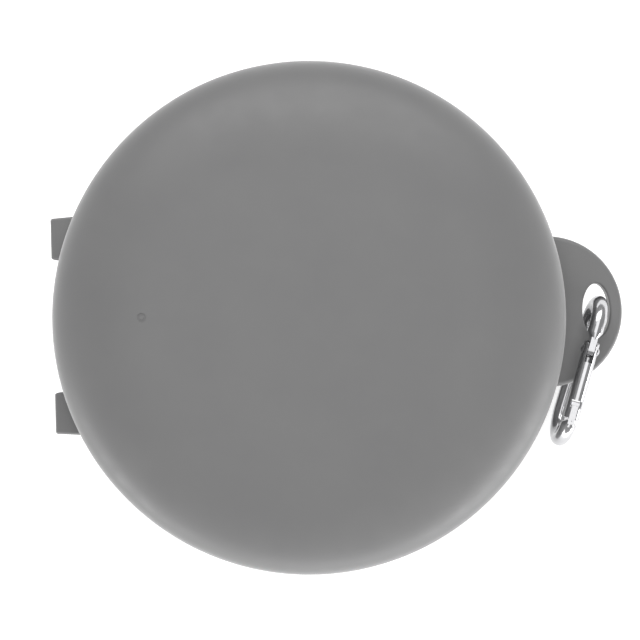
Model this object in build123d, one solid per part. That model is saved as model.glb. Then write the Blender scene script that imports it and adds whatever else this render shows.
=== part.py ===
from build123d import *
import os
from math import atan2, cos, radians, sin

# Closed clamshell travel bowl: two shallow silicone bowls hinged face to face, a round
# carrying tab on the lower one and a small steel snap hook clipped through the tab.
# Frame: origin at the centre of the lower base, on the floor. +X runs to the tab,
# Y runs along the hinge, +Z is up. Millimetres throughout.

# ---- bowls ----
BOWL_RADIUS = 80.0
BOWL_DEPTH = 24.0            # base to the seam between the two bowls
BASE_RADIUS = 50.0           # flat part of the base
SHOULDER_RISE = 13.0         # height taken by the rounded shoulder
WALL = 2.5
SEAM_GAP = 0.3               # shared evenly between the two rims
RIM_WIDTH = 4.8
RIM_HEIGHT = 5.0
RIM_TAPER = 2.6
RIM_ROUND = 0.8
GATE_MARK = (-50.6, 1.3)     # moulding gate, on the hinge side of the base
GATE_MARK_RADIUS = 1.4
GATE_MARK_DEPTH = 0.25
GATE_NUB_RADIUS = 0.6

# ---- seal between the rims ----
SEAL_RADIUS = 77.5
SEAL_WIDTH = 1.6
SEAL_SEAT = 1.8              # depth of the groove that holds it in the upper rim
SEAL_REACH = 1.2             # how far it stands out of the upper rim
SEAL_SLACK = 0.05
GROOVE_WIDTH = 2.4           # matching groove in the lower rim
GROOVE_DEPTH = 1.6

# ---- carrying tab ----
TAB_CENTRE_X = 76.0
TAB_RADIUS = 24.2
TAB_TOP = 23.6
TAB_THICK = 4.6
TAB_ROUND = 1.3
SLOT_X = 91.8
SLOT_HALF_X = 4.4
SLOT_HALF_Y = 8.6
SLOT_ROUND = 0.6

# ---- hinge ----
HINGE_X = -80.3
HINGE_MIDDLE_Y = -0.6        # the two lugs sit a little off the middle
LUG_Y = 27.6                 # centre of each lug from their middle
LUG_LENGTH = 13.0
KNUCKLE_RADIUS = 1.55
TONGUE_WIDTH = 6.0
TONGUE_SIDE_GAP = 0.3
WEB_BOTTOM = 1.85            # web joining the two cheeks, heights above the seam
WEB_TOP = 3.8
WEB_FACE_BACK = 0.7          # how far the web's top edge stands back from the knuckle
LUG_ROUND = 1.0
LUG_TAPER = 0.9              # extra width at the root
LUG_CORNER = (1.3, 0.8)
LUG_END_CHAMFER = 0.6
PIN_RADIUS = 0.65
PIN_LENGTH = 12.6
PIN_GRIP = 0.01
PIN_PLAY = 0.05

# ---- snap hook, drawn flat: u along its length, v across towards the gate ----
HOOK_LENGTH = 50.0
WIRE_RADIUS = 2.45
TOP_BEND = 7.4               # centre-line radius of the bend inside the tab slot
TAIL_BEND = 9.3
GATE_PIVOT = 8.2             # distances along the gate side, from the end of the top bend
NECK_START = GATE_PIVOT - 5.9
NECK_END = GATE_PIVOT - 3.4
TONGUE_THICK = 2.0
TONGUE_HALF = 2.1
GATE_RADIUS = 2.45
GATE_START = GATE_PIVOT - 2.85
GATE_END = 30.7
GATE_SLOT = 2.5
GATE_SLOT_END = GATE_PIVOT + 3.9
FORK_SLOT = 2.5
HEAD_START = 24.9
HEAD_END = 26.5
HEAD_WIDTH = 2.9
HEAD_HEIGHT = 3.0
POCKET_START = 24.5
POCKET_END = 26.9
POCKET_WIDTH = 3.4
NOSE_NECK = 2.0
NOSE_WIRE_START = 31.1
NOSE_TAPER_TURN = 25         # degrees round the tail bend where the wire is full size again
RIVET_RADIUS = 0.9
RIVET_HEAD_RADIUS = 1.5
RIVET_HEAD_HEIGHT = 0.8
RIVET_FLAT = 2.15            # half width across the flats under the rivet heads
BORE_RADIUS = 1.05
BORE_END = 23.5
PLUNGER_RADIUS = 0.95
PLUNGER_START = GATE_PIVOT + TONGUE_HALF + 0.06
PLUNGER_END = PLUNGER_START + 3.6
SPRING_START = PLUNGER_END + 0.7
SPRING_TURNS = 9
SPRING_WIRE = 0.15
SPRING_RADIUS = 0.78

# ---- how the hook sits in the tab ----
HOOK_POINT = (92.6, 2.25, 24.0)   # middle of the wire where it passes the slot
HOOK_TURN = 17.4                   # degrees its length is swung from the -Y direction
HOOK_DROOP = 7.3
HOOK_LEAN = 1.1


def box_between(x0, x1, y0, y1, z0, z1):
    middle = Pos((x0 + x1) / 2, (y0 + y1) / 2, (z0 + z1) / 2)
    return middle * Box(x1 - x0, y1 - y0, z1 - z0)


def cylinder_y(radius, length, x, y, z):
    return Pos(x, y, z) * Rot(90, 0, 0) * Cylinder(radius, length)


def corner_at(sketch, radius, height):
    return sketch.vertices().sort_by_distance((radius, height, 0))[0]


def ring_cut(radius, width, z0, z1):
    outer = Pos(0, 0, (z0 + z1) / 2) * Cylinder(radius + width / 2, z1 - z0)
    inner = Pos(0, 0, (z0 + z1) / 2) * Cylinder(radius - width / 2, z1 - z0)
    return outer - inner


def bowl_shell(groove_width, groove_depth):
    """One bowl, standing on its base with the rim up."""
    top = BOWL_DEPTH - SEAM_GAP / 2
    inside = BOWL_RADIUS - WALL
    rim_inside = BOWL_RADIUS - RIM_WIDTH
    rim_low = top - RIM_HEIGHT
    with BuildPart() as shell:
        with BuildSketch(Plane.XZ) as section:
            with BuildLine():
                Line((0, 0), (BASE_RADIUS, 0))
                EllipticalCenterArc((BASE_RADIUS, SHOULDER_RISE), BOWL_RADIUS - BASE_RADIUS,
                                    SHOULDER_RISE, start_angle=-90, arc_size=90)
                Polyline((BOWL_RADIUS, SHOULDER_RISE), (BOWL_RADIUS, top), (rim_inside, top),
                         (rim_inside, rim_low), (inside, rim_low - RIM_TAPER),
                         (inside, SHOULDER_RISE))
                EllipticalCenterArc((BASE_RADIUS, SHOULDER_RISE), inside - BASE_RADIUS,
                                    SHOULDER_RISE - WALL, start_angle=-90, arc_size=90)
                Polyline((BASE_RADIUS, WALL), (0, WALL), (0, 0))
            make_face()
            fillet(corner_at(section, BOWL_RADIUS, top), RIM_ROUND)
            fillet(corner_at(section, rim_inside, top), RIM_ROUND / 2)
            fillet(corner_at(section, rim_inside, rim_low), 1.5)
        revolve(axis=Axis.Z)
    groove = ring_cut(SEAL_RADIUS, groove_width, top - groove_depth, top + 1)
    mark = Pos(*GATE_MARK, 0) * Cylinder(GATE_MARK_RADIUS, 2 * GATE_MARK_DEPTH)
    nub_height = GATE_MARK_DEPTH - 0.1
    nub = Pos(*GATE_MARK, GATE_MARK_DEPTH - nub_height / 2) * Cylinder(GATE_NUB_RADIUS, nub_height)
    return shell.part - groove - mark + nub


def bowl_core(z0, z1):
    """Everything inside the wall, with a little of the wall left to join to."""
    return Pos(0, 0, (z0 + z1) / 2) * Cylinder(BOWL_RADIUS - 1.4, z1 - z0)


def is_slot_mouth(edge):
    box = edge.bounding_box()
    level = box.size.Z < 0.01
    return level and abs(box.size.X - 2 * SLOT_HALF_X) < 0.1 and box.center().X > BOWL_RADIUS


def tab():
    disc = Pos(TAB_CENTRE_X, 0, TAB_TOP - TAB_THICK / 2) * Cylinder(TAB_RADIUS, TAB_THICK)
    disc = fillet(disc.edges().filter_by(GeomType.CIRCLE), TAB_ROUND)
    low = TAB_TOP - TAB_THICK
    slot = extrude(Pos(SLOT_X, 0, low - 1) * Ellipse(SLOT_HALF_X, SLOT_HALF_Y), TAB_THICK + 2)
    plate = disc - bowl_core(low - 1, TAB_TOP + 1) - slot
    mouths = plate.edges().filter_by(is_slot_mouth)
    return fillet(mouths, SLOT_ROUND)


def lug_y(side):
    return HINGE_MIDDLE_Y + side * LUG_Y


def lug_footprint(side, length, corner):
    """Plan outline of a lug: wider at its root, inner end clipped at the corner."""
    near = LUG_Y - length / 2
    far = LUG_Y + length / 2
    face = HINGE_X - KNUCKLE_RADIUS
    root = HINGE_X + 12
    points = [(face, near + corner[1]), (face + corner[0], near), (root, near - LUG_TAPER),
              (root, far + LUG_TAPER), (face + corner[0] / 2, far), (face, far - corner[1] / 2)]
    points = [(x, HINGE_MIDDLE_Y + side * y) for x, y in points]
    return extrude(make_face(Polyline(*points, close=True)), 2 * BOWL_DEPTH, both=True)


def clevis(side):
    """Upper-bowl lug: two cheeks under one web, drilled for the pin."""
    seam = BOWL_DEPTH
    face = HINGE_X - KNUCKLE_RADIUS
    half = LUG_LENGTH / 2 + 2
    y = lug_y(side)
    outline = Polyline((face, seam + SEAM_GAP / 2), (face + WEB_FACE_BACK, seam + WEB_TOP),
                       (HINGE_X + 12, seam + WEB_TOP), (HINGE_X + 12, seam + SEAM_GAP / 2),
                       close=True)
    profile = make_face(outline)
    profile = fillet(profile.vertices().sort_by_distance((face, seam + WEB_TOP, 0))[0], LUG_ROUND)
    block = Pos(0, y + half, 0) * extrude(Plane.XZ * profile, 2 * half)
    block = block + cylinder_y(KNUCKLE_RADIUS, 2 * half, HINGE_X, y, seam)
    block = block & lug_footprint(side, LUG_LENGTH, LUG_CORNER)
    ends = [edge for edge in block.edges() if edge.center().Z > seam + WEB_TOP - 0.01
            and abs(edge.center().Y - y) > LUG_LENGTH / 2 - 0.2]
    block = chamfer(ends, LUG_END_CHAMFER)
    slot_half = TONGUE_WIDTH / 2 + TONGUE_SIDE_GAP
    block = block - box_between(face - 1, HINGE_X + 14, y - slot_half, y + slot_half,
                                seam - 5, seam + WEB_BOTTOM)
    block = block - bowl_core(seam - 5, seam + 10)
    return block - cylinder_y(PIN_RADIUS + PIN_GRIP, 2 * half, HINGE_X, y, seam)


def knuckle(side):
    """Lower-bowl lug: one tongue between the cheeks of the clevis."""
    seam = BOWL_DEPTH
    y = lug_y(side)
    half = TONGUE_WIDTH / 2
    body = cylinder_y(KNUCKLE_RADIUS, TONGUE_WIDTH, HINGE_X, y, seam)
    body = body + box_between(HINGE_X, HINGE_X + 12, y - half, y + half,
                              seam - KNUCKLE_RADIUS, seam - SEAM_GAP / 2)
    body = body - bowl_core(seam - 5, seam + 5)
    return body - cylinder_y(PIN_RADIUS + PIN_PLAY, TONGUE_WIDTH + 2, HINGE_X, y, seam)


def lower_bowl():
    return bowl_shell(GROOVE_WIDTH, GROOVE_DEPTH) + tab() + knuckle(1) + knuckle(-1)


def upper_bowl():
    shell = mirror(bowl_shell(SEAL_WIDTH, SEAL_SEAT), about=Plane.XY.offset(BOWL_DEPTH))
    return shell + clevis(1) + clevis(-1)


def rim_seal():
    rim = BOWL_DEPTH + SEAM_GAP / 2
    width = SEAL_WIDTH - 2 * SEAL_SLACK
    low = rim - SEAL_REACH
    high = rim + SEAL_SEAT - SEAL_SLACK
    ring = ring_cut(SEAL_RADIUS, width, low, high)
    tip = [e for e in ring.edges() if abs(e.center().Z - low) < 0.01]
    return fillet(tip, 0.6)


def hinge_pin(side):
    pin = cylinder_y(PIN_RADIUS, PIN_LENGTH, HINGE_X, lug_y(side), BOWL_DEPTH)
    return chamfer(pin.edges().filter_by(GeomType.CIRCLE), 0.15)


# The hook is drawn flat and then laid into its place in the tab slot.
TOP_CENTRE = (WIRE_RADIUS + TOP_BEND, TOP_BEND)
TAIL_CENTRE = (HOOK_LENGTH - WIRE_RADIUS - TAIL_BEND, TAIL_BEND)
SPREAD = 2 * atan2(TAIL_BEND - TOP_BEND, TAIL_CENTRE[0] - TOP_CENTRE[0])
SPREAD_DEG = SPREAD * 180 / 3.141592653589793
GATE_SIDE = Location((TOP_CENTRE[0] - TOP_BEND * sin(SPREAD),
                      TOP_CENTRE[1] + TOP_BEND * cos(SPREAD), 0), (0, 0, SPREAD_DEG))


def hook_place():
    turn = radians(HOOK_TURN)
    droop = radians(HOOK_DROOP)
    lean = radians(HOOK_LEAN)
    ahead = Vector(-sin(turn), -cos(turn), 0)
    aside = Vector(cos(turn), -sin(turn), 0)
    up = Vector(0, 0, 1)
    along = ahead * cos(droop) - up * sin(droop)
    across = (ahead * sin(droop) + up * cos(droop)) * cos(lean) + aside * sin(lean)
    plane = Plane(origin=HOOK_POINT, x_dir=along, z_dir=along.cross(across))
    return plane.location * Pos(-WIRE_RADIUS, -TOP_BEND, 0)


def on_gate(shape):
    """From gate coordinates (distance along it, across it, sideways) to the flat hook."""
    return GATE_SIDE * shape


def rod(radius, s0, s1):
    """Round bar along the gate side between two distances."""
    return Pos((s0 + s1) / 2, 0, 0) * Rot(0, 90, 0) * Cylinder(radius, s1 - s0)


def bar(s0, s1, v0, v1, width):
    return box_between(s0, s1, v0, v1, -width / 2, width / 2)


def hook_body():
    end_of_top = GATE_SIDE * Pos(NECK_START, 0, 0)
    tail = CenterArc((TAIL_CENTRE[0], TAIL_CENTRE[1], 0), TAIL_BEND,
                     90 + SPREAD_DEG - NOSE_TAPER_TURN, -(180 + SPREAD_DEG - NOSE_TAPER_TURN))
    spine = Line((TAIL_CENTRE[0], 0), (TOP_CENTRE[0], 0))
    bend = CenterArc((TOP_CENTRE[0], TOP_CENTRE[1], 0), TOP_BEND, -90, -(180 - SPREAD_DEG))
    lead = Line(bend @ 1, end_of_top.position)
    path = Wire([tail, spine, bend, lead])
    section = Plane(origin=path @ 0, z_dir=path % 0) * Circle(WIRE_RADIUS)
    wire = sweep(section, path=path)

    # the nose: the wire tapers to a thin neck with a small cross head
    nose_end = GATE_SIDE * Pos(NOSE_WIRE_START, -0.1, 0) * Rot(0, 90, 0)
    nose = loft([section, nose_end * Ellipse(NOSE_NECK * 0.55, 1.75)])
    neck = bar(HEAD_END - 0.2, NOSE_WIRE_START + 1.2, -1.6, 1.6, NOSE_NECK)
    head = bar(HEAD_START, HEAD_END, -HEAD_HEIGHT / 2, HEAD_HEIGHT / 2, HEAD_WIDTH)
    head = chamfer(head.edges(), 0.25)

    # the other end flattens into the tongue that carries the rivet
    round_end = Pos(NECK_START, 0, 0) * Rot(0, 90, 0) * Circle(WIRE_RADIUS)
    flat_end = Pos(NECK_END, 0, 0) * Rot(0, 90, 0) * Ellipse(TONGUE_THICK / 2, TONGUE_HALF)
    taper = loft([round_end, flat_end])
    tongue = bar(NECK_END - 0.9, GATE_PIVOT, -TONGUE_HALF, TONGUE_HALF, TONGUE_THICK)
    tongue = fillet(tongue.edges().filter_by(Axis.Z).group_by(Axis.X)[0], 0.4)
    tongue = tongue + Pos(GATE_PIVOT, 0, 0) * Cylinder(TONGUE_HALF, TONGUE_THICK)
    hole = Pos(GATE_PIVOT, 0, 0) * Cylinder(RIVET_RADIUS + 0.01, 8)
    fittings = on_gate(neck) + on_gate(head) + on_gate(taper) + on_gate(tongue)
    return wire + nose + fittings - on_gate(hole)


def hook_gate():
    barrel = rod(GATE_RADIUS, GATE_START, GATE_END)
    barrel = chamfer(barrel.edges().filter_by(GeomType.CIRCLE), 0.35)
    # round the pivot end so that it turns clear of the wire
    square = bar(GATE_START - 1, GATE_PIVOT - 0.4, -3, 3, 8)
    barrel = barrel - (square - Pos(GATE_PIVOT - 0.4, 0, 0) * Cylinder(GATE_RADIUS, 8))
    for face in (1, -1):
        flat = Pos(GATE_PIVOT, 0, face * (RIVET_FLAT + 1)) * Cylinder(RIVET_HEAD_RADIUS + 0.2, 2)
        barrel = barrel - flat
    cuts = [bar(GATE_START - 1, GATE_SLOT_END, -4, 4, GATE_SLOT),
            bar(POCKET_START, POCKET_END, -4, 4, POCKET_WIDTH),
            bar(POCKET_END - 0.2, GATE_END + 1, -4, 4, FORK_SLOT),
            rod(BORE_RADIUS, GATE_SLOT_END - 1, BORE_END),
            Pos(GATE_PIVOT, 0, 0) * Cylinder(RIVET_RADIUS + 0.05, 8)]
    for cut in cuts:
        barrel = barrel - cut
    return on_gate(barrel)


def gate_rivet():
    reach = RIVET_FLAT + 0.05
    shape = Pos(GATE_PIVOT, 0, 0) * Cylinder(RIVET_RADIUS, 2 * reach)
    ball = (RIVET_HEAD_RADIUS ** 2 + RIVET_HEAD_HEIGHT ** 2) / (2 * RIVET_HEAD_HEIGHT)
    for face in (1, -1):
        centre = face * (reach + RIVET_HEAD_HEIGHT - ball)
        dome = Pos(GATE_PIVOT, 0, centre) * Sphere(ball)
        keep = Pos(GATE_PIVOT, 0, face * (reach + 1)) * Cylinder(3, 2)
        shape = shape + (dome & keep)
    return on_gate(shape)


def gate_plunger():
    pin = rod(PLUNGER_RADIUS, PLUNGER_START, PLUNGER_END)
    return on_gate(chamfer(pin.edges().filter_by(GeomType.CIRCLE), 0.12))


def gate_spring():
    length = BORE_END - 0.2 - SPRING_START
    coil = Helix(length / SPRING_TURNS, length, SPRING_RADIUS)
    section = Plane(origin=coil @ 0, z_dir=coil % 0) * Circle(SPRING_WIRE)
    spring = sweep(section, path=coil, is_frenet=True)
    return on_gate(Pos(SPRING_START, 0, 0) * Rot(0, 90, 0) * spring)


PLACE = hook_place()
PARTS = {
    "lower_bowl": lower_bowl(),
    "upper_bowl": upper_bowl(),
    "rim_seal": rim_seal(),
    "hinge_pin_left": hinge_pin(1),
    "hinge_pin_right": hinge_pin(-1),
    "carabiner_body": PLACE * hook_body(),
    "carabiner_gate": PLACE * hook_gate(),
    "gate_rivet": PLACE * gate_rivet(),
    "gate_plunger": PLACE * gate_plunger(),
    "gate_spring": PLACE * gate_spring(),
}

os.makedirs("parts", exist_ok=True)
for name, shape in PARTS.items():
    solids = shape.solids()
    box = shape.bounding_box()
    print(name, "solids", len(solids), "volume", round(shape.volume, 2),
          "min", [round(v, 2) for v in box.min], "max", [round(v, 2) for v in box.max])
    export_step(shape, "parts/" + name + ".step")
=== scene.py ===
"""Looks of a closed clamshell travel bowl: two grey silicone bowls hinged face to face, with a
polished steel snap hook through the slot of the carrying tab. Metres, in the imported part's frame:
+X runs to the tab, Y along the hinge, +Z up, and the lower bowl's base stands on the floor."""
import math

import bpy
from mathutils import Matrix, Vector


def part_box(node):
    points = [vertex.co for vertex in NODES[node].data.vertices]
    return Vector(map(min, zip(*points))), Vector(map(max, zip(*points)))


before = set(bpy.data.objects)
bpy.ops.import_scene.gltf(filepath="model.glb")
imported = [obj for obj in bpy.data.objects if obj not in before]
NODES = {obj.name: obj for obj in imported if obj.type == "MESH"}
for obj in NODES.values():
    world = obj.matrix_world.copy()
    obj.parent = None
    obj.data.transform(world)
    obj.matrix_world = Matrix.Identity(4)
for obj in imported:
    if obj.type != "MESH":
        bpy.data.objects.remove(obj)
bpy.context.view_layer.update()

# ---- camera: straight above, turned a little, as a product picture taken from a copy stand ----
CAMERA_ABOVE_SEAM = 0.450
CAMERA_OFFSET = Vector((0.00338, -0.00080))
CAMERA_TURN = math.radians(1.5)
FOCAL_MM = 79.25
SENSOR_MM = 36.0
CLIP_RANGE = (0.01, 20)

# ---- floor ----
FLOOR_SIZE = 6.0
FLOOR_DROP = 0.0004          # just under the base, so the two never share a plane
FLOOR_GLOW = 0.42

# ---- light: name, place, size of the panel, watts; all aimed at the middle of the bowls ----
LIGHT_AIM = (0, 0, 0.03)
WORLD_STRENGTH = 0.45
LIGHTS = [
    ("top_softbox", (0.0, 0.95, 1.05), (1.6, 0.8), 15.8),
    ("overhead", (0.0, 0.1, 1.60), (1.2, 1.2), 6.1),
    ("low_front", (0.10, -0.98, 0.16), (1.1, 0.28), 3.8),
    ("low_right", (0.79, -0.60, 0.18), (0.8, 0.32), 6.5),
    ("low_left", (-0.74, -0.63, 0.16), (0.8, 0.26), 4.4),
]


# ---------------------------------------------------------------- node helpers

def new_material(name):
    """A material with its node tree, output and principled shader: (material, tree, shader)."""
    material = bpy.data.materials.new(name)
    material.use_nodes = True
    tree = material.node_tree
    tree.nodes.clear()
    output = tree.nodes.new("ShaderNodeOutputMaterial")
    shader = tree.nodes.new("ShaderNodeBsdfPrincipled")
    tree.links.new(shader.outputs["BSDF"], output.inputs["Surface"])
    return material, tree, shader


def object_noise(tree, scale, detail=3.0, roughness=0.5, stretch=(1, 1, 1)):
    """Noise over the object's own coordinates, in cycles per metre."""
    coords = tree.nodes.new("ShaderNodeTexCoord")
    mapping = tree.nodes.new("ShaderNodeMapping")
    mapping.inputs["Scale"].default_value = stretch
    noise = tree.nodes.new("ShaderNodeTexNoise")
    noise.inputs["Scale"].default_value = scale
    noise.inputs["Detail"].default_value = detail
    noise.inputs["Roughness"].default_value = roughness
    tree.links.new(coords.outputs["Object"], mapping.inputs["Vector"])
    tree.links.new(mapping.outputs["Vector"], noise.inputs["Vector"])
    return noise.outputs["Fac"]


def remap(tree, value, low, high, start=0.3, end=0.7):
    """The value from start..end spread over low..high, for a roughness or a mask."""
    node = tree.nodes.new("ShaderNodeMapRange")
    node.inputs["From Min"].default_value = start
    node.inputs["From Max"].default_value = end
    node.inputs["To Min"].default_value = low
    node.inputs["To Max"].default_value = high
    tree.links.new(value, node.inputs["Value"])
    return node.outputs["Result"]


def two_tone(tree, value, dark, light, start=0.3, end=0.7):
    """A colour between two greys or tints, chosen by the value."""
    ramp = tree.nodes.new("ShaderNodeValToRGB")
    ramp.color_ramp.elements[0].position = start
    ramp.color_ramp.elements[0].color = (*dark, 1)
    ramp.color_ramp.elements[1].position = end
    ramp.color_ramp.elements[1].color = (*light, 1)
    tree.links.new(value, ramp.inputs["Fac"])
    return ramp.outputs["Color"]


def add_bump(tree, shader, layers):
    """Stacks bump layers, each (height value, strength, depth in metres), on the shader's normal."""
    normal = None
    for height, strength, depth in layers:
        bump = tree.nodes.new("ShaderNodeBump")
        bump.inputs["Strength"].default_value = strength
        bump.inputs["Distance"].default_value = depth
        tree.links.new(height, bump.inputs["Height"])
        if normal is not None:
            tree.links.new(normal, bump.inputs["Normal"])
        normal = bump.outputs["Normal"]
    tree.links.new(normal, shader.inputs["Normal"])


# ---------------------------------------------------------------- materials

def silicone(name, dark, light, roughness, sheen):
    """Moulded silicone: satin grain from a blasted mould, faint mottling, a soft bloom at edges."""
    material, tree, shader = new_material(name)
    mottle = object_noise(tree, 38.0, detail=4.0, roughness=0.55)
    colour = two_tone(tree, mottle, dark, light)
    tree.links.new(colour, shader.inputs["Base Color"])
    patches = object_noise(tree, 160.0, detail=3.0)
    satin = remap(tree, patches, roughness - 0.05, roughness + 0.05)
    tree.links.new(satin, shader.inputs["Roughness"])
    grain = object_noise(tree, 3600.0, detail=2.0, roughness=0.6)
    ripple = object_noise(tree, 220.0, detail=2.0)
    add_bump(tree, shader, [(ripple, 0.15, 0.00008), (grain, 0.35, 0.00002)])
    shader.inputs["IOR"].default_value = 1.42
    shader.inputs["Sheen Weight"].default_value = sheen
    shader.inputs["Sheen Roughness"].default_value = 0.45
    shader.inputs["Sheen Tint"].default_value = (1, 1, 1, 1)
    return material


def polished_steel(name, dark, light, roughness):
    """Bright plated wire: slow tint changes, smears and very fine scratches."""
    material, tree, shader = new_material(name)
    cloud = object_noise(tree, 120.0, detail=3.0)
    tree.links.new(two_tone(tree, cloud, dark, light), shader.inputs["Base Color"])
    smears = object_noise(tree, 420.0, detail=4.0, roughness=0.65)
    tree.links.new(remap(tree, smears, roughness * 0.6, roughness * 1.5), shader.inputs["Roughness"])
    scratches = object_noise(tree, 900.0, detail=3.0, roughness=0.7, stretch=(6, 1, 1))
    add_bump(tree, shader, [(scratches, 0.05, 0.00001)])
    shader.inputs["Metallic"].default_value = 1.0
    return material


def drawn_steel(name, dark, light, roughness):
    """Plain drawn or turned steel: fine rings and a duller finish."""
    material, tree, shader = new_material(name)
    rings = object_noise(tree, 2200.0, detail=3.0, roughness=0.6, stretch=(1, 0.15, 1))
    tree.links.new(two_tone(tree, rings, dark, light), shader.inputs["Base Color"])
    tree.links.new(remap(tree, rings, roughness - 0.08, roughness + 0.08), shader.inputs["Roughness"])
    add_bump(tree, shader, [(rings, 0.25, 0.00003)])
    shader.inputs["Metallic"].default_value = 1.0
    return material


def dress(material, *names):
    """Gives the named CAD nodes this one material."""
    for name in names:
        slots = NODES[name].data.materials
        slots.clear()
        slots.append(material)
        for polygon in NODES[name].data.polygons:
            polygon.material_index = 0


dress(silicone("silicone_grey", (0.136, 0.136, 0.137), (0.144, 0.144, 0.144), 0.42, 0.35),
      "lower_bowl", "upper_bowl")
dress(silicone("seal_silicone", (0.10, 0.10, 0.10), (0.125, 0.125, 0.125), 0.58, 0.2), "rim_seal")
dress(polished_steel("hook_steel", (0.46, 0.46, 0.47), (0.54, 0.54, 0.55), 0.15),
      "carabiner_body", "carabiner_gate", "gate_rivet")
dress(drawn_steel("pin_steel", (0.42, 0.42, 0.43), (0.55, 0.55, 0.55), 0.32),
      "hinge_pin_left", "hinge_pin_right", "gate_plunger", "gate_spring")


# ---------------------------------------------------------------- floor, light and camera

def floor():
    """A plain white floor, far wider than the view."""
    half = FLOOR_SIZE / 2
    corners = [(-half, -half, 0), (half, -half, 0), (half, half, 0), (-half, half, 0)]
    mesh = bpy.data.meshes.new("floor")
    mesh.from_pydata(corners, [], [(0, 1, 2, 3)])
    plane = bpy.data.objects.new("floor", mesh)
    bpy.context.scene.collection.objects.link(plane)
    plane.location.z = -FLOOR_DROP
    material, tree, shader = new_material("floor_white")
    white = two_tone(tree, object_noise(tree, 2.0), (0.86, 0.86, 0.86), (0.88, 0.88, 0.88))
    tree.links.new(white, shader.inputs["Base Color"])
    shader.inputs["Roughness"].default_value = 0.9
    shader.inputs["Emission Color"].default_value = (1, 1, 1, 1)
    shader.inputs["Emission Strength"].default_value = FLOOR_GLOW
    mesh.materials.append(material)


def area_light(name, place, size, watts):
    """A rectangular softbox that faces the bowls."""
    data = bpy.data.lights.new(name, "AREA")
    data.shape = "RECTANGLE"
    data.size, data.size_y = size
    data.energy = watts
    lamp = bpy.data.objects.new(name, data)
    lamp.location = place
    direction = Vector(LIGHT_AIM) - Vector(place)
    lamp.rotation_euler = direction.to_track_quat("-Z", "Y").to_euler()
    bpy.context.scene.collection.objects.link(lamp)


def lights():
    """The softboxes, and an even white surround."""
    for name, place, size, watts in LIGHTS:
        area_light(name, place, size, watts)
    world = bpy.data.worlds.new("studio")
    world.use_nodes = True
    backdrop = world.node_tree.nodes["Background"]
    backdrop.inputs["Color"].default_value = (1, 1, 1, 1)
    backdrop.inputs["Strength"].default_value = WORLD_STRENGTH
    bpy.context.scene.world = world
    bpy.context.scene.view_settings.view_transform = "Standard"


def camera():
    """Looks straight down, from its height above the seam between the bowls."""
    seam = (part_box("lower_bowl")[0].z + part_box("upper_bowl")[1].z) / 2
    data = bpy.data.cameras.new("camera")
    data.sensor_width = SENSOR_MM
    data.lens = FOCAL_MM
    data.clip_start, data.clip_end = CLIP_RANGE
    eye = bpy.data.objects.new("camera", data)
    eye.location = (*CAMERA_OFFSET, seam + CAMERA_ABOVE_SEAM)
    eye.rotation_euler = (0, 0, -CAMERA_TURN)
    bpy.context.scene.collection.objects.link(eye)
    bpy.context.scene.camera = eye


floor()
lights()
camera()
